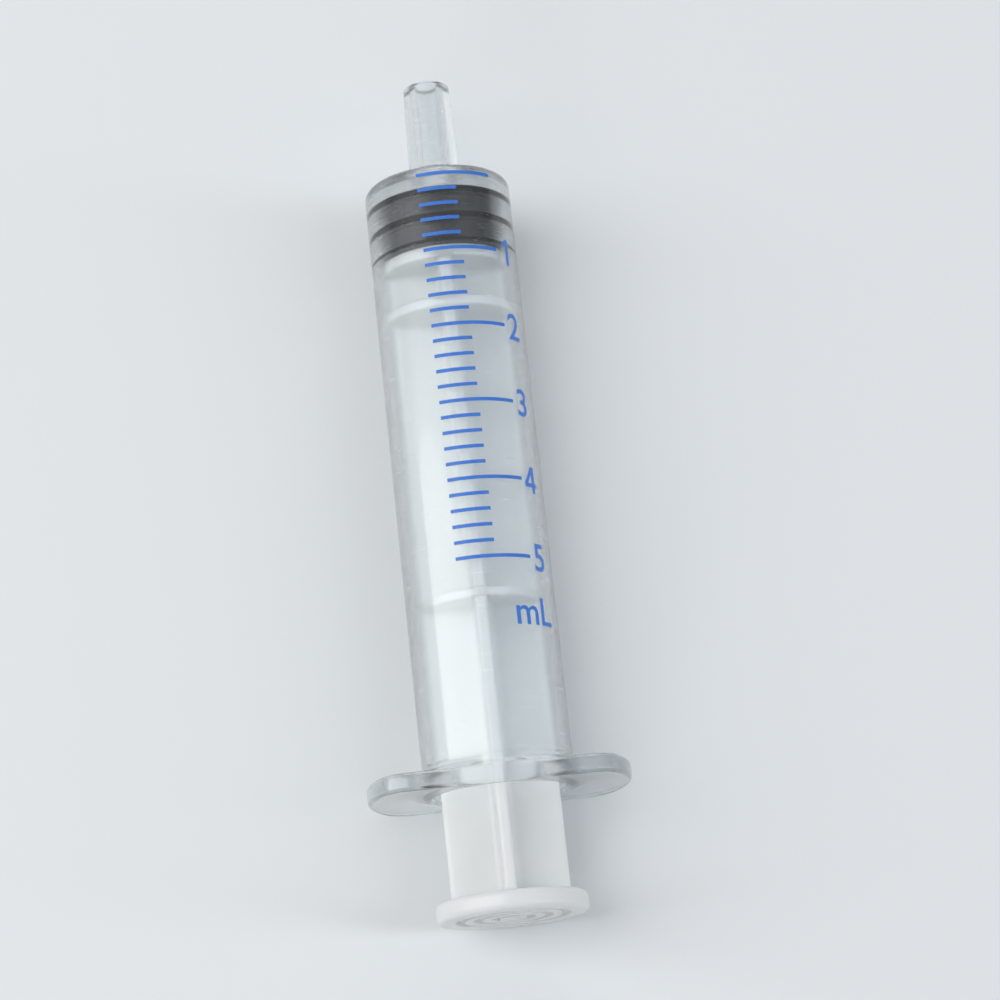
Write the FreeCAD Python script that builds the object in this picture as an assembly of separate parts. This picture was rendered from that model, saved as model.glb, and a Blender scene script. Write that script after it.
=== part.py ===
import FreeCAD, Part
import math
import os

from FreeCAD import Vector

# Three-piece enteral syringe of 5 mL, lying on its side with the tip towards +Y.
# Sizes are in millimetres. Stations run along the axis from the rear face of the
# finger flange, and grow towards the tip.

# Capacity and graduation
nominal_volume = 5
divisions_per_ml = 5
line_width = 0.35
ink_thickness = 0.03
line_start_angle = -16.0
short_line_end_angle = 14.5
long_line_end_angle = 45.0

# Barrel: one moulding of polypropylene
bore_diameter = 12.75
barrel_wall = 0.9
bore_depth = 61.0
cone_slope = 20.0
front_wall = 1.1
shoulder_round = 0.9
mouth_chamfer = 0.35
cut_overrun = 1.0

# Slip tip, which narrows towards its end
tip_length = 9.5
tip_end_diameter = 4.6
tip_taper = 0.06
tip_end_round = 0.35
tip_root_round = 0.8
lumen_diameter = 2.2

# Finger flange, cut flat on two sides so that the syringe doesn't roll
flange_span = 25.4
flange_thickness = 1.8
flat_stand_out = 0.3
flange_corner_round = 3.2
flange_edge_round = 0.4
flange_blend_round = 1.0

# Bead inside the mouth, which holds the plunger in
bead_station = 2.0
bead_length = 1.2
bead_height = 0.22
bead_slope_length = 0.4

# Stopper: one moulding of rubber
stopper_side_length = 5.9
stopper_clearance = 0.02
front_rib_width = 0.8
middle_rib_width = 0.9
rear_rib_width = 0.6
groove_depth = 0.6
rib_round = 0.2
groove_round = 0.25
stopper_nose_diameter = 2.6

# What is left in front of the stopper when the plunger is pushed fully in, and how far the
# plunger is drawn back from there as the syringe is packed
seat_gap = 0.05
packed_draw_back = 1.1

# Snap head of the plunger and its socket in the stopper
neck_diameter = 5.4
neck_length = 1.5
head_diameter = 7.8
head_length = 2.8
head_rim_length = 0.6
head_front_diameter = 4.6
head_round = 0.25
socket_clearance = 0.05

# Plunger rod: one moulding of polypropylene
rib_reach = 5.7
rib_root_thickness = 1.5
rib_edge_thickness = 1.1
rib_edge_round = 0.3
rib_root_round = 0.5
rib_foot_round = 0.6
push_disc_diameter = 12.0
push_disc_thickness = 1.2
stop_disc_diameter = 12.55
stop_disc_thickness = 1.0
disc_spacing = 4.2
disc_edge_round = 0.25
web_count = 1
web_diameter = 11.0
web_thickness = 0.9

# Thumb press at the rear end of the plunger
press_gap = 10.0
press_diameter = 14.6
press_thickness = 1.9
press_round = 0.55
ring_groove_count = 3
ring_groove_pitch = 1.7
ring_groove_width = 0.8
ring_groove_depth = 0.4
ring_groove_round = 0.2

# Radii
bore_radius = bore_diameter / 2
barrel_radius = bore_radius + barrel_wall
tip_end_radius = tip_end_diameter / 2
tip_root_radius = tip_end_radius + tip_taper * tip_length / 2
lumen_radius = lumen_diameter / 2
bead_radius = bore_radius - bead_height
stopper_radius = bore_radius - stopper_clearance
groove_radius = stopper_radius - groove_depth
neck_radius = neck_diameter / 2
head_radius = head_diameter / 2
head_front_radius = head_front_diameter / 2
nose_radius = stopper_nose_diameter / 2
press_radius = press_diameter / 2

# Stations of the barrel
cone_rise = math.tan(math.radians(cone_slope))
shoulder_station = bore_depth + front_wall - barrel_wall * cone_rise
tip_root_station = shoulder_station + (barrel_radius - tip_root_radius) * cone_rise
tip_end_station = tip_root_station + tip_length
bead_front_station = bead_station + bead_length

# Stations of the stopper and the plunger, as packed
seated_rib_station = bore_depth - seat_gap
rib_front_station = seated_rib_station - packed_draw_back
stopper_rear_station = rib_front_station - stopper_side_length
push_disc_front = stopper_rear_station - socket_clearance
push_disc_rear = push_disc_front - push_disc_thickness
stop_disc_front = push_disc_rear - disc_spacing
stop_disc_rear = stop_disc_front - stop_disc_thickness
neck_front_station = push_disc_front + neck_length
head_front_station = neck_front_station + head_length
press_front_station = -press_gap
press_rear_station = press_front_station - press_thickness
stop_travel = stop_disc_rear - bead_front_station

# Graduation, spaced by the volume that the bore holds. The front rib stands at the zero
# line when the plunger is pushed fully in
zero_station = seated_rib_station
millimetres_per_ml = 1000 / (math.pi * bore_radius**2)

# The origin is below the middle of the whole length, on the flats that the flange rests on
axis_height = barrel_radius + flat_stand_out
mouth_y = -(press_rear_station + tip_end_station) / 2
axis_point = Vector(0, 0, axis_height)
axis_direction = Vector(0, 1, 0)


def in_length(radius, station):
    # A point of a profile that is turned about the syringe's axis
    return Vector(radius, mouth_y + station, axis_height)


def across(station):
    # Points of a section that stands square to the axis at this station
    return lambda x, z: Vector(x, mouth_y + station, axis_height + z)


def rounded_face(corners, place):
    # A flat face whose corners (u, v, radius) are rounded with tangent arcs
    flat = [Vector(u, v, 0) for u, v, radius in corners]
    cuts = []
    for number, (u, v, radius) in enumerate(corners):
        point = flat[number]
        if radius == 0:
            cuts.append((point, None, point))
            continue
        back = (flat[number - 1] - point).normalize()
        on = (flat[(number + 1) % len(flat)] - point).normalize()
        half_angle = back.getAngle(on) / 2
        inwards = (back + on).normalize()
        reach = radius / math.tan(half_angle)
        middle = point + inwards * (radius / math.sin(half_angle) - radius)
        cuts.append((point + back * reach, middle, point + on * reach))
    edges = []
    for number, (start, middle, end) in enumerate(cuts):
        next_start = cuts[(number + 1) % len(cuts)][0]
        if middle is not None:
            arc = [place(p.x, p.y) for p in (start, middle, end)]
            edges.append(Part.Arc(*arc).toShape())
        if end.distanceToPoint(next_start) > 1e-6:
            edges.append(Part.makeLine(place(end.x, end.y), place(next_start.x, next_start.y)))
    return Part.Face(Part.Wire(edges))


def turned(corners):
    return rounded_face(corners, in_length).revolve(axis_point, axis_direction, 360)


def disc(radius, rear_station, thickness, edge_round):
    front_station = rear_station + thickness
    return turned([
        (0, rear_station, 0),
        (radius, rear_station, edge_round),
        (radius, front_station, edge_round),
        (0, front_station, 0),
    ])


def make_flange():
    half_width = axis_height
    end_radius = flange_span / 2
    corner_radius = flange_corner_round
    # Each corner's arc touches the flat side and the round end from inside
    corner_z = half_width - corner_radius
    corner_x = math.sqrt((end_radius - corner_radius) ** 2 - corner_z**2)
    end_angle = math.atan2(corner_z, corner_x)
    end_touch_x = end_radius * math.cos(end_angle)
    end_touch_z = end_radius * math.sin(end_angle)
    middle_angle = (end_angle + math.pi / 2) / 2
    arc_middle_x = corner_x + corner_radius * math.cos(middle_angle)
    arc_middle_z = corner_z + corner_radius * math.sin(middle_angle)
    place = across(0)
    edges = []
    for side in (1, -1):
        edges += [
            Part.makeLine(
                place(-side * corner_x, side * half_width),
                place(side * corner_x, side * half_width),
            ),
            Part.Arc(
                place(side * corner_x, side * half_width),
                place(side * arc_middle_x, side * arc_middle_z),
                place(side * end_touch_x, side * end_touch_z),
            ).toShape(),
            Part.Arc(
                place(side * end_touch_x, side * end_touch_z),
                place(side * end_radius, 0),
                place(side * end_touch_x, -side * end_touch_z),
            ).toShape(),
            Part.Arc(
                place(side * end_touch_x, -side * end_touch_z),
                place(side * arc_middle_x, -side * arc_middle_z),
                place(side * corner_x, -side * half_width),
            ).toShape(),
        ]
    plate = Part.Face(Part.Wire(edges)).extrude(axis_direction * flange_thickness)
    rims = [edge for edge in plate.Edges if edge.BoundBox.YLength < 1e-6]
    return plate.makeFillet(flange_edge_round, rims)


def make_barrel():
    # The outside of the tube ends in a flare that runs into the flange, and the flats
    # of the flange trim that flare. The space inside runs past both ends of what it cuts
    flare_radius = barrel_radius + flange_blend_round
    outside = turned([
        (0, 0, 0),
        (flare_radius, 0, 0),
        (flare_radius, flange_thickness, 0),
        (barrel_radius, flange_thickness, flange_blend_round),
        (barrel_radius, shoulder_station, shoulder_round),
        (tip_root_radius, tip_root_station, tip_root_round),
        (tip_end_radius, tip_end_station, tip_end_round),
        (0, tip_end_station, 0),
    ])
    trim = Part.makeBox(
        flange_span,
        tip_end_station,
        2 * axis_height,
        Vector(-flange_span / 2, mouth_y, 0),
    )
    inside = turned([
        (0, -cut_overrun, 0),
        (bore_radius + mouth_chamfer + cut_overrun, -cut_overrun, 0),
        (bore_radius, mouth_chamfer, 0),
        (bore_radius, bead_station, 0),
        (bead_radius, bead_station + bead_slope_length, 0),
        (bead_radius, bead_front_station - bead_slope_length, 0),
        (bore_radius, bead_front_station, 0),
        (bore_radius, bore_depth, 0),
        (lumen_radius, bore_depth + (bore_radius - lumen_radius) * cone_rise, 0),
        (lumen_radius, tip_end_station + cut_overrun, 0),
        (0, tip_end_station + cut_overrun, 0),
    ])
    return outside.common(trim).fuse(make_flange()).cut(inside).removeSplitter()


def make_stopper():
    # Three sealing ribs with grooves between them, and a cone that fills the front of the bore
    side_free = stopper_side_length - front_rib_width - middle_rib_width - rear_rib_width
    groove_width = side_free / 2
    rear_groove_start = stopper_rear_station + rear_rib_width
    rear_groove_end = rear_groove_start + groove_width
    front_groove_start = rear_groove_end + middle_rib_width
    front_groove_end = front_groove_start + groove_width
    nose_station = rib_front_station + (stopper_radius - nose_radius) * cone_rise
    outside = turned([
        (0, stopper_rear_station, 0),
        (stopper_radius, stopper_rear_station, rib_round),
        (stopper_radius, rear_groove_start, rib_round),
        (groove_radius, rear_groove_start, groove_round),
        (groove_radius, rear_groove_end, groove_round),
        (stopper_radius, rear_groove_end, rib_round),
        (stopper_radius, front_groove_start, rib_round),
        (groove_radius, front_groove_start, groove_round),
        (groove_radius, front_groove_end, groove_round),
        (stopper_radius, front_groove_end, rib_round),
        (stopper_radius, rib_front_station, rib_round),
        (nose_radius, nose_station, 0),
        (0, nose_station, 0),
    ])
    return outside.cut(turned(head_profile(socket_clearance)))


def head_profile(clearance):
    # The snap head, or with a clearance the socket that the stopper has for it
    rim_front_station = neck_front_station + head_rim_length
    return [
        (0, push_disc_front - clearance, 0),
        (neck_radius + clearance, push_disc_front - clearance, 0),
        (neck_radius + clearance, neck_front_station - clearance, 0),
        (head_radius + clearance, neck_front_station - clearance, head_round),
        (head_radius + clearance, rim_front_station + clearance, head_round),
        (head_front_radius + clearance, head_front_station + clearance, head_round),
        (0, head_front_station + clearance, 0),
    ]


def make_thumb_press():
    # A disc with ring grooves in its rear face, where the thumb pushes
    corners = [(0, press_rear_station, 0)]
    for number in range(ring_groove_count):
        middle = ring_groove_pitch * (number + 1)
        inner = middle - ring_groove_width / 2
        outer = middle + ring_groove_width / 2
        bottom = press_rear_station + ring_groove_depth
        corners += [
            (inner, press_rear_station, 0),
            (inner, bottom, ring_groove_round),
            (outer, bottom, ring_groove_round),
            (outer, press_rear_station, 0),
        ]
    corners += [
        (press_radius, press_rear_station, press_round),
        (press_radius, press_front_station, press_round),
        (0, press_front_station, 0),
    ]
    return turned(corners)


def make_ribs():
    # A cross of four ribs, each thicker at its root than at its edge
    root = rib_root_thickness / 2
    edge = rib_edge_thickness / 2
    arm = [
        (rib_reach, -edge, rib_edge_round),
        (rib_reach, edge, rib_edge_round),
        (root, root, rib_root_round),
    ]
    corners = []
    for quarter in range(4):
        cosine = (1, 0, -1, 0)[quarter]
        sine = (0, 1, 0, -1)[quarter]
        corners += [(u * cosine - v * sine, u * sine + v * cosine, radius) for u, v, radius in arm]
    length = push_disc_rear - press_front_station
    return rounded_face(corners, across(press_front_station)).extrude(axis_direction * length)


def make_plunger_rod():
    rod = make_ribs().fuse([
        make_thumb_press(),
        disc(push_disc_diameter / 2, push_disc_rear, push_disc_thickness, disc_edge_round),
    ]).removeSplitter()
    # The feet of the ribs run into the thumb press and the push disc in fillets. The rims of
    # the two discs lie at the same stations, but they are closed circles
    feet = [
        edge
        for edge in rod.Edges
        if edge.BoundBox.YLength < 1e-6
        and not edge.isClosed()
        and min(
            abs(edge.BoundBox.YMin - mouth_y - press_front_station),
            abs(edge.BoundBox.YMin - mouth_y - push_disc_rear),
        ) < 1e-6
    ]
    rod = rod.makeFillet(rib_foot_round, feet)
    rod = rod.fuse(disc(stop_disc_diameter / 2, stop_disc_rear, stop_disc_thickness, disc_edge_round))
    web_spacing = (stop_disc_rear - press_front_station) / (web_count + 1)
    for number in range(web_count):
        middle = press_front_station + web_spacing * (number + 1)
        rod = rod.fuse(disc(web_diameter / 2, middle - web_thickness / 2, web_thickness, disc_edge_round))
    return rod.fuse(turned(head_profile(0))).removeSplitter()


def make_scale_print():
    # One film of ink for each line, bent round the barrel, with a long line at each whole mL
    lines = []
    for number in range(nominal_volume * divisions_per_ml + 1):
        middle = zero_station - millimetres_per_ml * number / divisions_per_ml
        whole = number % divisions_per_ml == 0
        end_angle = long_line_end_angle if whole else short_line_end_angle
        corners = [
            (0, middle - line_width / 2),
            (0, middle + line_width / 2),
            (ink_thickness, middle + line_width / 2),
            (ink_thickness, middle - line_width / 2),
        ]
        # The section stands on top of the barrel, and is turned towards +X from there
        points = [
            Vector(0, mouth_y + station, axis_height + barrel_radius + height)
            for height, station in corners
        ]
        section = Part.Face(Part.makePolygon(points + points[:1]))
        section.rotate(axis_point, axis_direction, line_start_angle)
        lines.append(section.revolve(axis_point, axis_direction, end_angle - line_start_angle))
    return Part.makeCompound(lines)


def save(name, shape):
    shape.exportStep(os.path.join("parts", name + ".step"))


os.makedirs("parts", exist_ok=True)
save("barrel", make_barrel())
save("stopper", make_stopper())
save("plunger_rod", make_plunger_rod())
save("scale_print", make_scale_print())

# Places that the mounts are measured from, and how far the plunger slides
print("axis height", round(axis_height, 3))
print("mouth y", round(mouth_y, 3))
print("travel to the stop", round(stop_travel, 3))
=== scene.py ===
import math

import bmesh
import bpy
import numpy as np
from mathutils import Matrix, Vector


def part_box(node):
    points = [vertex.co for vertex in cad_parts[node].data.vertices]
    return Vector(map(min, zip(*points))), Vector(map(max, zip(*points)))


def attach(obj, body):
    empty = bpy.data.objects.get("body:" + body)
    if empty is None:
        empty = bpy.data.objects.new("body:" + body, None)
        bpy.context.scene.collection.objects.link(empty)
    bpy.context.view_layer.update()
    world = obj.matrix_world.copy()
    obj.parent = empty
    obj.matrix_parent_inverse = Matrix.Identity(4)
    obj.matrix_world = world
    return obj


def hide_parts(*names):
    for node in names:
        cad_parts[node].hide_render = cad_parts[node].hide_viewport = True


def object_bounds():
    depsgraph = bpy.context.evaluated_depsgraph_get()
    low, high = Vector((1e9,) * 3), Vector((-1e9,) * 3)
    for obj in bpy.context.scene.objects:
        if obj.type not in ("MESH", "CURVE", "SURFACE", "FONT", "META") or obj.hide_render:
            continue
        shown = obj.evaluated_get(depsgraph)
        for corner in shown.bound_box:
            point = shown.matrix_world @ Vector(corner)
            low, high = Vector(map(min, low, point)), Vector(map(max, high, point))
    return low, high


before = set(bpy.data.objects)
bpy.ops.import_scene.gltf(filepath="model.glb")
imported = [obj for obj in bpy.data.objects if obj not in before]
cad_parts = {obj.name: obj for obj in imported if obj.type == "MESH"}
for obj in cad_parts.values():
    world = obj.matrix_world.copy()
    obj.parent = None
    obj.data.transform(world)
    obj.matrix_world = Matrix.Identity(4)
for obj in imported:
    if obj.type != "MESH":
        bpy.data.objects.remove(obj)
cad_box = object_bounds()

# Barrel
# One injection moulding of natural polypropylene, clear enough to read the stopper through.
# The tube, finger flange, front cone and slip tip are one piece with a polished bore, and a
# low bead inside the mouth keeps the plunger in.
MM = 0.001
stopper_low, stopper_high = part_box("stopper")
barrel_low, barrel_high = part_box("barrel")
AXIS_HEIGHT = (stopper_low.z + stopper_high.z) / 2
MOUTH = barrel_low.y

tip_end = (barrel_high.y - MOUTH) / MM
bore_radius = 6.375
barrel_wall = 0.9
barrel_radius = bore_radius + barrel_wall
bore_depth = 61.0
cone_rise = math.tan(math.radians(20))
front_wall = 1.1
shoulder_round = 0.9
tip_length = 9.5
tip_slope = 0.03
tip_end_radius = 2.3
tip_root_radius = tip_end_radius + tip_slope * tip_length
tip_root_round = 0.8
tip_end_round = 0.35
lumen_radius = 1.1
lumen_end_round = 0.2
lumen_root_round = 0.3
bore_corner_round = 0.1
flange_half_span = (barrel_high.x - barrel_low.x) / 2 / MM
flange_half_width = AXIS_HEIGHT / MM
flange_thickness = 1.8
flange_corner = 3.2
flange_edge = 0.4
flange_blend = 1.0
bead_start = 2.0
bead_end = 3.2
bead_height = 0.22
bead_slope = 0.4
bead_round = 0.3
bead_radius = bore_radius - bead_height
mouth_chamfer = 0.35
mouth_round = 0.12
# Points round the axis and steps in each rounded edge, and how far beside a rounded edge the next
# ring stands, which keeps the flat faces flat
barrel_points = 240
edge_steps = 6
face_margin = 0.05
mouth_margin = 0.2


def rounded(corners, steps=8, hold=0.07):
    """Points of an open profile whose corners (radius, station, round) are arcs, with a
    point close to each end of every long straight stretch, which keeps flat faces flat."""
    points = []
    for number, (radius, station, rounding) in enumerate(corners):
        corner = Vector((radius, station))
        if rounding == 0 or number in (0, len(corners) - 1):
            points.append(corner)
            continue
        back = (Vector(corners[number - 1][:2]) - corner).normalized()
        onward = (Vector(corners[number + 1][:2]) - corner).normalized()
        half_angle = back.angle(onward) / 2
        centre = corner + (back + onward).normalized() * (rounding / math.sin(half_angle))
        reach = rounding / math.tan(half_angle)
        first = corner + back * reach - centre
        last = corner + onward * reach - centre
        sweep = first.angle_signed(last)
        for step in range(steps + 1):
            turn = -sweep * step / steps
            points.append(centre + Vector((
                first.x * math.cos(turn) - first.y * math.sin(turn),
                first.x * math.sin(turn) + first.y * math.cos(turn),
            )))
    held = [points[0]]
    for before, after in zip(points, points[1:]):
        stretch = after - before
        if stretch.length > 4 * hold:
            held.append(before + stretch.normalized() * hold)
            held.append(after - stretch.normalized() * hold)
        if stretch.length > 1e-5:
            held.append(after)
    return held


def ring(angles, radius, station):
    """One ring of points round the axis, in metres. Angles run from +Z towards +X."""
    radius = np.broadcast_to(np.asarray(radius, float), angles.shape) * MM
    return np.stack([
        radius * np.sin(angles),
        np.full(angles.shape, MOUTH + station * MM),
        AXIS_HEIGHT + radius * np.cos(angles),
    ], axis=1)


def skin(name, rings, closed=False):
    """A closed mesh through rings of points, whose first and last ring meet or are poles."""
    count = len(rings[0])
    total = len(rings)
    faces = []
    for row in range(total if closed else total - 1):
        low = row * count
        high = (row + 1) % total * count
        for column in range(count):
            side = (column + 1) % count
            faces.append((low + column, low + side, high + side, high + column))
    mesh = bpy.data.meshes.new(name)
    mesh.from_pydata(np.concatenate(rings).tolist(), [], faces)
    shell = bmesh.new()
    shell.from_mesh(mesh)
    bmesh.ops.remove_doubles(shell, verts=shell.verts, dist=1e-7)
    bmesh.ops.recalc_face_normals(shell, faces=shell.faces)
    for face in shell.faces:
        face.smooth = True
    shell.to_mesh(mesh)
    shell.free()
    piece = bpy.data.objects.new(name, mesh)
    bpy.context.collection.objects.link(piece)
    return piece


def flange_outline(angles, inset):
    """Distance from the axis to the flange's edge: two flats, two round ends, four corners."""
    half = flange_half_width - inset
    end = flange_half_span - inset
    corner = flange_corner - inset
    corner_z = half - corner
    corner_x = math.sqrt((end - corner) ** 2 - corner_z**2)
    folded = np.arctan2(np.abs(np.sin(angles)), np.abs(np.cos(angles)))
    along = corner_x * np.sin(folded) + corner_z * np.cos(folded)
    room = np.maximum(corner**2 - corner_x**2 - corner_z**2 + along**2, 0)
    flat = half / np.maximum(np.cos(folded), 1e-6)
    on_flat = folded < math.atan2(corner_x, half)
    on_end = folded > math.atan2(corner_x, corner_z)
    return np.where(on_flat, flat, np.where(on_end, end, along + np.sqrt(room)))


def make_barrel():
    angles = np.linspace(0, 2 * math.pi, barrel_points, endpoint=False)
    shoulder = bore_depth + front_wall - barrel_wall * cone_rise
    tip_root = shoulder + (barrel_radius - tip_root_radius) * cone_rise
    lumen_root = bore_depth + (bore_radius - lumen_radius) * cone_rise
    profile = rounded([
        (barrel_radius + flange_blend, flange_thickness, 0),
        (barrel_radius, flange_thickness, flange_blend),
        (barrel_radius, shoulder, shoulder_round),
        (tip_root_radius, tip_root, tip_root_round),
        (tip_end_radius, tip_end, tip_end_round),
        (lumen_radius, tip_end, lumen_end_round),
        (lumen_radius, lumen_root, lumen_root_round),
        (bore_radius, bore_depth, bore_corner_round),
        (bore_radius, bead_end, bead_round),
        (bead_radius, bead_end - bead_slope, bead_round),
        (bead_radius, bead_start + bead_slope, bead_round),
        (bore_radius, bead_start, bead_round),
        (bore_radius, mouth_chamfer, mouth_round),
        (bore_radius + mouth_chamfer, 0, mouth_round),
        (bore_radius + mouth_chamfer + mouth_margin, 0, 0),
    ])
    widest = np.maximum(flange_outline(angles, flange_edge + face_margin), barrel_radius)
    rings = []
    for radius, station in profile:
        outside = radius > barrel_radius and station > flange_thickness / 2
        rings.append(ring(angles, np.minimum(radius, widest) if outside else radius, station))
    # The flange, from its rear face over its rounded edge to its front face
    edge = [(flange_edge + face_margin, 0.0)]
    turns = [math.radians(90 * step / edge_steps) for step in range(edge_steps + 1)]
    for turn in turns:
        edge.append((flange_edge * (1 - math.sin(turn)), flange_edge * (1 - math.cos(turn))))
    for turn in turns:
        edge.append((
            flange_edge * (1 - math.cos(turn)),
            flange_thickness - flange_edge * (1 - math.sin(turn)),
        ))
    edge.append((flange_edge + face_margin, flange_thickness))
    for inset, station in edge:
        outline = flange_outline(angles, inset)
        if station > flange_thickness / 2:
            outline = np.maximum(outline, barrel_radius)
        rings.append(ring(angles, outline, station))
    return skin("barrel_moulding", rings, closed=True)


def linear(hex_colour):
    """An sRGB hex colour as the linear RGBA that a shader wants."""
    channels = [int(hex_colour[place:place + 2], 16) / 255 for place in (1, 3, 5)]
    return [c / 12.92 if c <= 0.04045 else ((c + 0.055) / 1.055) ** 2.4 for c in channels] + [1]


def add(tree, kind, settings=None, **links):
    """Adds one node, with its settings by attribute and its inputs by value or by link."""
    node = tree.nodes.new(kind)
    for name, value in (settings or {}).items():
        setattr(node, name, value)
    for name, value in links.items():
        key = int(name[1:]) if name[0] == "_" else name.replace("_", " ")
        socket = node.inputs[key]
        if isinstance(value, bpy.types.NodeSocket):
            tree.links.new(value, socket)
        else:
            socket.default_value = value
    return node


def new_material(name):
    material = bpy.data.materials.new(name)
    material.use_nodes = True
    material.node_tree.nodes.clear()
    return material, material.node_tree


def natural_polypropylene():
    """Random copolymer polypropylene from a polished mould: clear with a slight milkiness,
    glossy, with faint flow waves along the tube and a few rub marks from packing."""
    material, tree = new_material("natural_polypropylene")
    place = add(tree, "ShaderNodeTexCoord").outputs["Object"]
    # Flow waves run along the tube, about 3 mm across and 20 mm long
    waves_place = add(tree, "ShaderNodeMapping", Vector=place, Scale=(330, 50, 330))
    waves = add(tree, "ShaderNodeTexNoise", Vector=waves_place.outputs[0], Scale=1.0, Detail=2.0)
    # Rub marks are hairlines across the tube, 0.1 mm wide
    rubs_place = add(
        tree, "ShaderNodeMapping", Vector=place, Scale=(400, 9000, 400), Rotation=(0, 0, 0.3),
    )
    rubs = add(tree, "ShaderNodeTexNoise", Vector=rubs_place.outputs[0], Scale=1.0, Detail=3.0)
    rub_marks = add(
        tree, "ShaderNodeMapRange", Value=rubs.outputs[0], From_Min=0.66, From_Max=0.74,
    )
    gloss = add(
        tree, "ShaderNodeMapRange",
        Value=waves.outputs[0], From_Min=0.3, From_Max=0.7, To_Min=0.18, To_Max=0.25,
    )
    rough = add(
        tree, "ShaderNodeMath", {"operation": "MULTIPLY_ADD"},
        _0=rub_marks.outputs[0], _1=0.12, _2=gloss.outputs[0],
    )
    bump = add(tree, "ShaderNodeBump", Height=waves.outputs[0], Distance=0.00002, Strength=0.3)
    surface = add(
        tree, "ShaderNodeBsdfPrincipled",
        Base_Color=linear("#F3F6F7"), Roughness=rough.outputs[0], IOR=1.49,
        Transmission_Weight=0.985, Normal=bump.outputs[0],
        Coat_Weight=0.4, Coat_Roughness=0.06, Coat_IOR=1.49,
    )
    # Lamps shine through the thin wall, so it throws only a pale shadow
    passing = add(tree, "ShaderNodeBsdfTransparent", Color=linear("#EEF1F2"))
    ray = add(tree, "ShaderNodeLightPath")
    mixed = add(
        tree, "ShaderNodeMixShader",
        _0=ray.outputs["Is Shadow Ray"], _1=surface.outputs[0], _2=passing.outputs[0],
    )
    add(tree, "ShaderNodeOutputMaterial", Surface=mixed.outputs[0])
    return material


barrel = make_barrel()
barrel.data.materials.append(natural_polypropylene())
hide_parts("barrel")
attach(barrel, "barrel")

# Graduation
# A film of blue ink printed straight on the barrel: a short line for each 0.2 mL and a long
# one for each whole mL, spaced by the volume of the bore, with plain figures beside the long
# lines.
ink_thickness = 0.03
line_width = 0.35
lines_per_ml = 5
nominal_ml = 5
ml_length = 1000 / (math.pi * bore_radius**2)
seat_gap = 0.05
zero_station = bore_depth - seat_gap
line_start = math.radians(-16)
short_line_end = math.radians(14.5)
long_line_end = math.radians(45)
line_points = 33
figure_height = 2.8
capital_share = 0.72
figure_boldness = 0.035
figure_cut = 0.2
figure_angle = math.radians(56)
unit_angle = math.radians(45)
unit_drop = 5.4
# Outlines in parts of the font's size: the built-in font draws a bare bar for 1, and its 4 has
# a centre that closes when its strokes are made bolder
straight_figures = {
    "1": [[
        (0.345, 0), (0.345, 0.69), (0.25, 0.69), (0.09, 0.575), (0.09, 0.455), (0.23, 0.545),
        (0.23, 0),
    ]],
    "4": [
        [
            (0.405, 0), (0.405, 0.155), (0.485, 0.155), (0.485, 0.26), (0.405, 0.26), (0.405, 0.69),
            (0.275, 0.69), (0.01, 0.265), (0.01, 0.155), (0.29, 0.155), (0.29, 0),
        ],
        [(0.29, 0.26), (0.128, 0.26), (0.29, 0.52)],
    ],
}


def printing_ink():
    """Screen-printed ink: a strong mid blue, satin, a little thinner in places."""
    material, tree = new_material("printing_ink")
    place = add(tree, "ShaderNodeTexCoord").outputs["Object"]
    # Mottle of the film, in patches of about 0.4 mm
    mottle = add(tree, "ShaderNodeTexNoise", Vector=place, Scale=2500.0, Detail=3.0)
    tint = add(
        tree, "ShaderNodeMix", {"data_type": "RGBA"},
        _0=mottle.outputs[0], _6=linear("#2C68C8"), _7=linear("#4A86DC"),
    )
    bump = add(tree, "ShaderNodeBump", Height=mottle.outputs[0], Distance=0.00001, Strength=0.5)
    surface = add(
        tree, "ShaderNodeBsdfPrincipled",
        Base_Color=tint.outputs[2], Roughness=0.38, IOR=1.5, Normal=bump.outputs[0],
    )
    add(tree, "ShaderNodeOutputMaterial", Surface=surface.outputs[0])
    return material


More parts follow.
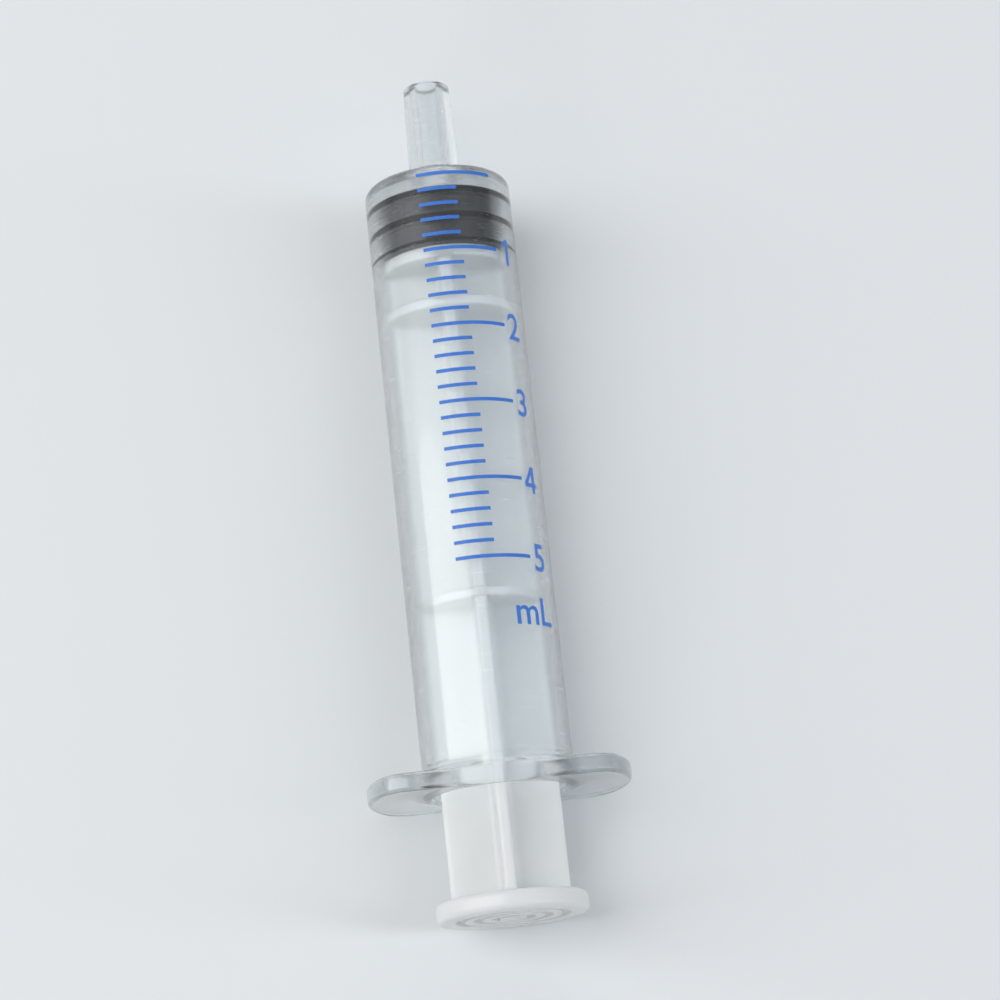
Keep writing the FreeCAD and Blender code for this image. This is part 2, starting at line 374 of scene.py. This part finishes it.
def graduation_tree(ink):
    """Bends one short and one long line round the barrel and sets them at every division."""
    tree = bpy.data.node_groups.new("graduation", "GeometryNodeTree")
    tree.interface.new_socket("Geometry", in_out="OUTPUT", socket_type="NodeSocketGeometry")
    for name, kind in (
        ("Lines", "NodeSocketInt"), ("Lines per mL", "NodeSocketInt"),
        ("Pitch", "NodeSocketFloat"), ("Width", "NodeSocketFloat"),
        ("Thickness", "NodeSocketFloat"), ("Barrel radius", "NodeSocketFloat"),
        ("Axis height", "NodeSocketFloat"), ("Zero place", "NodeSocketFloat"),
        ("Start angle", "NodeSocketFloat"), ("Short end angle", "NodeSocketFloat"),
        ("Long end angle", "NodeSocketFloat"),
    ):
        tree.interface.new_socket(name, in_out="INPUT", socket_type=kind)
    inputs = add(tree, "NodeGroupInput").outputs

    def maths(operation, first, second, third=0.0):
        settings = {"operation": operation}
        return add(tree, "ShaderNodeMath", settings, _0=first, _1=second, _2=third).outputs[0]

    def bent_line(end_angle):
        span = maths("SUBTRACT", end_angle, inputs["Start angle"])
        middle = maths("MULTIPLY_ADD", span, 0.5, inputs["Start angle"])
        size = add(tree, "ShaderNodeCombineXYZ", X=span, Y=inputs["Width"], Z=inputs["Thickness"])
        bar = add(
            tree, "GeometryNodeMeshCube",
            Size=size.outputs[0], Vertices_X=line_points, Vertices_Y=2, Vertices_Z=2,
        )
        place = add(tree, "GeometryNodeInputPosition").outputs[0]
        spot = add(tree, "ShaderNodeSeparateXYZ", Vector=place).outputs
        angle = maths("ADD", spot["X"], middle)
        rise = maths("MULTIPLY_ADD", inputs["Thickness"], 0.5, spot["Z"])
        distance = maths("ADD", rise, inputs["Barrel radius"])
        bent = add(
            tree, "ShaderNodeCombineXYZ",
            X=maths("MULTIPLY", distance, maths("SINE", angle, 0.0)),
            Y=spot["Y"],
            Z=maths("MULTIPLY_ADD", distance, maths("COSINE", angle, 0.0), inputs["Axis height"]),
        )
        return add(
            tree, "GeometryNodeSetPosition",
            Geometry=bar.outputs["Mesh"], Position=bent.outputs[0],
        ).outputs[0]

    start = add(tree, "ShaderNodeCombineXYZ", Y=inputs["Zero place"])
    step = add(tree, "ShaderNodeCombineXYZ", Y=maths("MULTIPLY", inputs["Pitch"], -1.0))
    row = add(
        tree, "GeometryNodeMeshLine",
        Count=inputs["Lines"], Start_Location=start.outputs[0], Offset=step.outputs[0],
    )
    index = add(tree, "GeometryNodeInputIndex").outputs[0]
    remainder = maths("MODULO", index, inputs["Lines per mL"])
    whole = maths("LESS_THAN", remainder, 0.5)
    between = maths("SUBTRACT", 1.0, whole)
    long_lines = add(
        tree, "GeometryNodeInstanceOnPoints",
        Points=row.outputs[0], Selection=whole, Instance=bent_line(inputs["Long end angle"]),
    )
    short_lines = add(
        tree, "GeometryNodeInstanceOnPoints",
        Points=row.outputs[0], Selection=between, Instance=bent_line(inputs["Short end angle"]),
    )
    joined = add(tree, "GeometryNodeJoinGeometry")
    tree.links.new(long_lines.outputs[0], joined.inputs[0])
    tree.links.new(short_lines.outputs[0], joined.inputs[0])
    real = add(tree, "GeometryNodeRealizeInstances", Geometry=joined.outputs[0])
    inked = add(tree, "GeometryNodeSetMaterial", Geometry=real.outputs[0], Material=ink)
    add(tree, "NodeGroupOutput", Geometry=inked.outputs[0])
    return tree


def made_by_nodes(name, tree, sizes):
    """A plain mesh object holding what the tree makes with these sizes."""
    carrier = bpy.data.objects.new(name, bpy.data.meshes.new(name))
    bpy.context.collection.objects.link(carrier)
    modifier = carrier.modifiers.new(name, "NODES")
    modifier.node_group = tree
    for item in tree.interface.items_tree:
        if item.in_out == "INPUT" and item.name in sizes:
            modifier[item.identifier] = sizes[item.name]
    evaluated = carrier.evaluated_get(bpy.context.evaluated_depsgraph_get())
    mesh = bpy.data.meshes.new_from_object(evaluated)
    carrier.modifiers.clear()
    carrier.data = mesh
    return carrier


def printed_text(words, station, angle):
    """Figures as a film of ink, bent round the barrel, upright when the tip points up."""
    size = figure_height / capital_share * MM
    if words in straight_figures:
        curve = bpy.data.curves.new("figures", "CURVE")
        curve.dimensions = "2D"
        curve.fill_mode = "BOTH"
        for corners in straight_figures[words]:
            outline = curve.splines.new("POLY")
            outline.points.add(len(corners) - 1)
            for point, (x, y) in zip(outline.points, corners):
                point.co = (x * size, y * size, 0, 1)
            outline.use_cyclic_u = True
    else:
        curve = bpy.data.curves.new("figures", "FONT")
        curve.body = words
        curve.size = size
        curve.offset = figure_boldness * MM
    curve.extrude = ink_thickness / 2 * MM
    source = bpy.data.objects.new("figures", curve)
    bpy.context.collection.objects.link(source)
    evaluated = source.evaluated_get(bpy.context.evaluated_depsgraph_get())
    mesh = bpy.data.meshes.new_from_object(evaluated)
    bpy.data.objects.remove(source)
    letters = bmesh.new()
    letters.from_mesh(mesh)
    bmesh.ops.remove_doubles(letters, verts=letters.verts, dist=1e-7)
    across = [vert.co.x for vert in letters.verts]
    along = [vert.co.y for vert in letters.verts]
    middle = Vector(((min(across) + max(across)) / 2, (min(along) + max(along)) / 2, 0))
    bmesh.ops.translate(letters, verts=letters.verts, vec=-middle)
    # Cuts close together let the flat film follow the barrel
    half = max(across) - middle.x
    cut = -half
    while cut < half:
        everything = letters.verts[:] + letters.edges[:] + letters.faces[:]
        bmesh.ops.bisect_plane(
            letters, geom=everything, dist=1e-8, plane_co=(cut, 0, 0), plane_no=(1, 0, 0),
        )
        cut += figure_cut * MM
    radius = (barrel_radius + ink_thickness / 2) * MM
    for vert in letters.verts:
        turn = angle + vert.co.x / radius
        distance = radius + vert.co.z
        vert.co = Vector((
            distance * math.sin(turn),
            MOUTH + station * MM + vert.co.y,
            AXIS_HEIGHT + distance * math.cos(turn),
        ))
    letters.to_mesh(mesh)
    letters.free()
    return mesh


ink = printing_ink()
lines = made_by_nodes("graduation_lines", graduation_tree(ink), {
    "Lines": nominal_ml * lines_per_ml + 1,
    "Lines per mL": lines_per_ml,
    "Pitch": ml_length / lines_per_ml * MM,
    "Width": line_width * MM,
    "Thickness": ink_thickness * MM,
    "Barrel radius": barrel_radius * MM,
    "Axis height": AXIS_HEIGHT,
    "Zero place": MOUTH + zero_station * MM,
    "Start angle": line_start,
    "Short end angle": short_line_end,
    "Long end angle": long_line_end,
})
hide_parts("scale_print")
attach(lines, "barrel")

figures = bmesh.new()
for number in range(1, nominal_ml + 1):
    figures.from_mesh(printed_text(str(number), zero_station - number * ml_length, figure_angle))
figures.from_mesh(printed_text("mL", zero_station - nominal_ml * ml_length - unit_drop, unit_angle))
figures_mesh = bpy.data.meshes.new("graduation_figures")
figures.to_mesh(figures_mesh)
figures.free()
figures_mesh.materials.append(ink)
graduation_figures = bpy.data.objects.new("graduation_figures", figures_mesh)
bpy.context.collection.objects.link(graduation_figures)
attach(graduation_figures, "barrel")

# Stopper
# One moulding of black synthetic rubber with three sealing ribs and a cone in front, pressed
# over the head of the plunger. A film of silicone makes the ribs slide and shine.
# The rubber is wider than the bore and the bore squeezes it, so that its ribs touch the wall
squeeze = 0.015
stopper_radius = bore_radius + squeeze
stopper_rear = (stopper_low.y - MOUTH) / MM
stopper_side = 5.9
rib_front = stopper_rear + stopper_side
front_rib = 0.8
middle_rib = 0.9
rear_rib = 0.6
rib_round = 0.2
groove = (rib_front - stopper_rear - front_rib - middle_rib - rear_rib) / 2
groove_depth = 0.62
groove_radius = bore_radius - groove_depth
groove_round = 0.25
nose_radius = 1.3
nose_round = 0.4
stopper_points = 160
# The snap head of the plunger, and the gap that the socket in the rubber leaves round it
head_gap = 0.05
push_front = stopper_rear - head_gap
neck_radius = 2.7
neck_length = 1.5
neck_round = 0.15
neck_front = push_front + neck_length
head_radius = 3.9
head_end_radius = 2.3
head_rim = 0.6
head_length = 2.8
head_round = 0.25
head_front = neck_front + head_length
socket_radius = 2.85


def head_profile(clearance):
    """The plunger's snap head from the push disc forwards, or the socket for it."""
    return [
        (neck_radius + clearance, push_front - clearance, 0),
        (neck_radius + clearance, neck_front - clearance, neck_round),
        (head_radius + clearance, neck_front - clearance, head_round),
        (head_radius + clearance, neck_front + head_rim + clearance, head_round),
        (head_end_radius + clearance, head_front + clearance, head_round),
        (0, head_front + clearance, 0),
    ]


def butyl_rubber():
    """Moulded bromobutyl rubber: nearly black, even, with a wet sheen from its silicone."""
    material, tree = new_material("butyl_rubber")
    place = add(tree, "ShaderNodeTexCoord").outputs["Object"]
    # Fine moulded grain of 0.15 mm and broader patches of silicone, about 1.5 mm
    grain = add(tree, "ShaderNodeTexNoise", Vector=place, Scale=6500.0, Detail=2.0)
    film = add(tree, "ShaderNodeTexNoise", Vector=place, Scale=650.0, Detail=2.0)
    tint = add(
        tree, "ShaderNodeMix", {"data_type": "RGBA"},
        _0=film.outputs[0], _6=linear("#17191B"), _7=linear("#22262A"),
    )
    gloss = add(
        tree, "ShaderNodeMapRange",
        Value=film.outputs[0], From_Min=0.35, From_Max=0.65, To_Min=0.3, To_Max=0.48,
    )
    bump = add(tree, "ShaderNodeBump", Height=grain.outputs[0], Distance=0.00001, Strength=0.6)
    surface = add(
        tree, "ShaderNodeBsdfPrincipled",
        Base_Color=tint.outputs[2], Roughness=gloss.outputs[0], IOR=1.52, Normal=bump.outputs[0],
        Specular_IOR_Level=0.3,
    )
    add(tree, "ShaderNodeOutputMaterial", Surface=surface.outputs[0])
    return material


def make_stopper():
    angles = np.linspace(0, 2 * math.pi, stopper_points, endpoint=False)
    first_groove = stopper_rear + rear_rib
    second_groove = first_groove + groove + middle_rib
    nose = (stopper_high.y - MOUTH) / MM
    corners = [(0, nose, 0), (nose_radius, nose, nose_round), (stopper_radius, rib_front, rib_round)]
    for rear in (second_groove, first_groove):
        corners += [
            (stopper_radius, rear + groove, rib_round),
            (groove_radius, rear + groove, groove_round),
            (groove_radius, rear, groove_round),
            (stopper_radius, rear, rib_round),
        ]
    corners += [(stopper_radius, stopper_rear, rib_round), (socket_radius, stopper_rear, 0)]
    socket = rounded(head_profile(head_gap), steps=4)[1:]
    return skin("ribbed_stopper", [ring(angles, r, s) for r, s in rounded(corners) + socket])


stopper = make_stopper()
stopper.data.materials.append(butyl_rubber())
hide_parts("stopper")
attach(stopper, "stopper")

# Plunger rod
# One moulding of polypropylene: a cross of four ribs between the push disc and the thumb
# press, a disc that stops it at the bead, a web half-way, and a snap head for the stopper.
rib_reach = 5.7
rib_root = 0.75
rib_edge = 0.55
rib_edge_round = 0.3
rib_root_round = 0.5
rib_foot = 0.45
disc_foot = 0.25
disc_edge = 0.25
push_radius = 6.0
push_inset = 0.7
push_thickness = 1.2
push_rear = push_front - push_thickness
stop_radius = 6.275
stop_distance = 4.2
stop_thickness = 1.0
stop_front = push_rear - stop_distance
stop_rear = stop_front - stop_thickness
web_radius = 5.5
web_thickness = 0.9
press_front = -10.0
press_rear = (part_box("plunger_rod")[0].y - MOUTH) / MM
press_radius = 7.3
press_round = 0.55
press_inner_radius = 6.4
grip_spacing = 1.7
grip_half_width = 0.4
grip_depth = 0.4
grip_edge_round = 0.08
grip_floor_round = 0.15
# Points round the axis crowd at the middle of each rib, where its edge is
octant_points = 32
crowding = 1.3
octant = math.pi / 4 * (np.arange(octant_points) / octant_points) ** crowding
half_arm = np.concatenate([octant, [math.pi / 4], math.pi / 2 - octant[:0:-1]])
rod_angles = np.concatenate([half_arm + quarter * math.pi / 2 for quarter in range(4)])


def cross_outline(offset):
    """Distance from the axis to the cross of ribs, let out by offset, at each angle. The
    outline is where a distance formula, with its corners rounded, equals the offset."""
    across = np.abs(np.sin(rod_angles))
    up = np.abs(np.cos(rod_angles))
    draft = (rib_root - rib_edge) / rib_reach
    slant = 1 / math.hypot(1, draft)

    def arm(u, v):
        side = (v - rib_root + draft * u) * slant
        end = u - rib_reach
        beyond = np.hypot(np.maximum(side + rib_edge_round, 0), np.maximum(end + rib_edge_round, 0))
        return np.minimum(np.maximum(side, end), -rib_edge_round) + beyond

    # The distance is narrowed down by halving, from between the axis and well past the discs
    near = np.full(rod_angles.shape, 0.2)
    far = np.full(rod_angles.shape, 9.0)
    for halving in range(45):
        middle = (near + far) / 2
        first = arm(middle * across, middle * up)
        second = arm(middle * up, middle * across)
        first_dip = np.maximum(rib_root_round - first, 0)
        second_dip = np.maximum(rib_root_round - second, 0)
        dip = np.hypot(first_dip, second_dip)
        distance = np.maximum(np.minimum(first, second), rib_root_round) - dip
        inside = distance < offset
        near = np.where(inside, middle, near)
        far = np.where(inside, far, middle)
    return near


def foot_rings(station, foot, forwards):
    """Rings of the fillet between the ribs and a disc's face, from the face outwards."""
    rings = []
    for step in range(edge_steps + 1):
        turn = math.radians(90 * step / edge_steps)
        height = foot * (1 - math.cos(turn)) * forwards
        rings.append(ring(rod_angles, cross_outline(foot * (1 - math.sin(turn))), station + height))
    return rings


def disc_rings(radius, rear, front, foot, edge_round):
    """Rings of a disc that the ribs run into on both sides, with its edge rounded."""
    ribs = cross_outline(0)
    rings = foot_rings(rear, foot, -1)[::-1]
    inner = rib_root + 1
    edge = rounded([
        (inner, rear, 0),
        (radius, rear, edge_round),
        (radius, front, edge_round),
        (inner, front, 0),
    ], steps=5)[1:-1]
    for reach, station in edge:
        if reach > radius - 2 * edge_round:
            rings.append(ring(rod_angles, np.maximum(reach, ribs), station))
    return rings + foot_rings(front, foot, 1)


def make_rod():
    corners = [(0, press_rear, 0)]
    for number in (1, 2, 3):
        middle = grip_spacing * number
        corners += [
            (middle - grip_half_width, press_rear, grip_edge_round),
            (middle - grip_half_width, press_rear + grip_depth, grip_floor_round),
            (middle + grip_half_width, press_rear + grip_depth, grip_floor_round),
            (middle + grip_half_width, press_rear, grip_edge_round),
        ]
    corners += [
        (press_radius, press_rear, press_round),
        (press_radius, press_front, press_round),
        (press_inner_radius, press_front, 0),
    ]
    rings = [ring(rod_angles, r, s) for r, s in rounded(corners, steps=6)]
    rings += foot_rings(press_front, rib_foot, 1)
    middle = (press_front + stop_rear) / 2
    web_rear = middle - web_thickness / 2
    web_front = middle + web_thickness / 2
    rings += disc_rings(web_radius, web_rear, web_front, disc_foot, disc_edge)
    rings += disc_rings(stop_radius, stop_rear, stop_front, disc_foot, disc_edge)
    rings += foot_rings(push_rear, rib_foot, -1)[::-1]
    push_disc = [
        (push_radius - push_inset, push_rear, 0),
        (push_radius, push_rear, disc_edge),
        (push_radius, push_front, disc_edge),
    ]
    front_profile = rounded(push_disc + head_profile(0), steps=5)[1:]
    rings += [ring(rod_angles, np.maximum(r, 0), s) for r, s in front_profile]
    return skin("plunger_moulding", rings)


def milky_polypropylene():
    """Homopolymer polypropylene in thick ribs: milky, waxy, light glows through its edges."""
    material, tree = new_material("milky_polypropylene")
    place = add(tree, "ShaderNodeTexCoord").outputs["Object"]
    # Sink and flow marks of about 4 mm, and the fine texture of the mould, about 0.2 mm
    marks = add(tree, "ShaderNodeTexNoise", Vector=place, Scale=250.0, Detail=2.0)
    texture = add(tree, "ShaderNodeTexNoise", Vector=place, Scale=5000.0, Detail=2.0)
    tint = add(
        tree, "ShaderNodeMix", {"data_type": "RGBA"},
        _0=marks.outputs[0], _6=linear("#F0F3F3"), _7=linear("#F7F8F7"),
    )
    gloss = add(
        tree, "ShaderNodeMapRange",
        Value=marks.outputs[0], From_Min=0.3, From_Max=0.7, To_Min=0.28, To_Max=0.38,
    )
    heights = add(
        tree, "ShaderNodeMath", {"operation": "MULTIPLY_ADD"},
        _0=texture.outputs[0], _1=0.15, _2=marks.outputs[0],
    )
    bump = add(tree, "ShaderNodeBump", Height=heights.outputs[0], Distance=0.00004, Strength=0.5)
    surface = add(
        tree, "ShaderNodeBsdfPrincipled",
        Base_Color=tint.outputs[2], Roughness=gloss.outputs[0], IOR=1.49, Normal=bump.outputs[0],
        Transmission_Weight=0.2, Subsurface_Weight=0.6, Subsurface_Radius=(1.0, 1.0, 1.0),
        Subsurface_Scale=0.0015,
    )
    add(tree, "ShaderNodeOutputMaterial", Surface=surface.outputs[0])
    return material


rod = make_rod()
rod.data.materials.append(milky_polypropylene())
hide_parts("plunger_rod")
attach(rod, "plunger")

# Floor, lamps and camera
# A pale bench under soft studio light. The camera looks down on the syringe from the plunger's
# side, with the tip at the top of the picture, leaning a little to the left.
floor_size = 3
bpy.ops.mesh.primitive_plane_add(size=floor_size)
floor = bpy.context.object
floor.name = "floor"
floor_material, floor_tree = new_material("pale_bench")
floor_place = add(floor_tree, "ShaderNodeTexCoord").outputs["Object"]
floor_grain = add(floor_tree, "ShaderNodeTexNoise", Vector=floor_place, Scale=900.0, Detail=2.0)
floor_bump = add(
    floor_tree, "ShaderNodeBump",
    Height=floor_grain.outputs[0], Distance=0.00002, Strength=0.3,
)
floor_surface = add(
    floor_tree, "ShaderNodeBsdfPrincipled",
    Base_Color=linear("#E4E7E9"), Roughness=0.6, Normal=floor_bump.outputs[0],
)
add(floor_tree, "ShaderNodeOutputMaterial", Surface=floor_surface.outputs[0])
floor.data.materials.append(floor_material)

# The room is bright overhead and darker near the horizon, which draws the clear plastic's edges
world = bpy.data.worlds.new("studio")
world.use_nodes = True
world.node_tree.nodes.clear()
direction = add(world.node_tree, "ShaderNodeTexCoord").outputs["Generated"]
height = add(world.node_tree, "ShaderNodeSeparateXYZ", Vector=direction).outputs["Z"]
brightness = add(
    world.node_tree, "ShaderNodeMapRange",
    Value=height, From_Min=0.05, From_Max=0.8, To_Min=0.16, To_Max=0.44,
)
sky = add(
    world.node_tree, "ShaderNodeBackground",
    Color=linear("#F2F4F6"), Strength=brightness.outputs[0],
)
add(world.node_tree, "ShaderNodeOutputWorld", Surface=sky.outputs[0])
world.cycles.sampling_method = "NONE"
bpy.context.scene.world = world
middle_of_part = (cad_box[0] + cad_box[1]) / 2


def add_lamp(name, place, width, length, watts, colour):
    lamp = bpy.data.lights.new(name, "AREA")
    lamp.shape = "RECTANGLE"
    lamp.size = width
    lamp.size_y = length
    lamp.energy = watts
    lamp.color = linear(colour)[:3]
    holder = bpy.data.objects.new(name, lamp)
    bpy.context.collection.objects.link(holder)
    holder.location = place
    holder.rotation_euler = (middle_of_part - holder.location).to_track_quat("-Z", "Y").to_euler()
    # Shadow rays already carry the lamps' light through the clear wall, so it isn't counted twice
    holder.visible_transmission = False


add_lamp("key_softbox", Vector((-0.58, 0.05, 0.61)), 0.38, 1.12, 4.7, "#FFFFFF")
add_lamp("fill_softbox", Vector((0.9, -0.2, 0.6)), 0.2, 1.2, 4.4, "#F4F8FF")
add_lamp("rim_softbox", Vector((0.2, 1.2, 0.5)), 1.0, 0.3, 2.8, "#FFFFFF")
add_lamp("press_softbox", Vector((-0.5, -1.0, 0.4)), 0.3, 0.3, 1.4, "#FFFFFF")

camera_data = bpy.data.cameras.new("camera")
camera_data.lens = 110
camera = bpy.data.objects.new("camera", camera_data)
bpy.context.collection.objects.link(camera)
elevation = math.radians(75)
azimuth = math.radians(-6)
camera_distance = 0.3
# The lean puts the part to the right of the picture's middle, so the camera aims beside its centre
aim = middle_of_part + Vector((0.003, -0.0015, 0))
towards_camera = Vector((
    math.sin(azimuth) * math.cos(elevation),
    -math.cos(azimuth) * math.cos(elevation),
    math.sin(elevation),
))
camera.location = aim + towards_camera * camera_distance
camera.rotation_euler = (-towards_camera).to_track_quat("-Z", "Y").to_euler()
camera_data.clip_start = 0.01
bpy.context.scene.camera = camera
bpy.context.scene.view_settings.view_transform = "Standard"
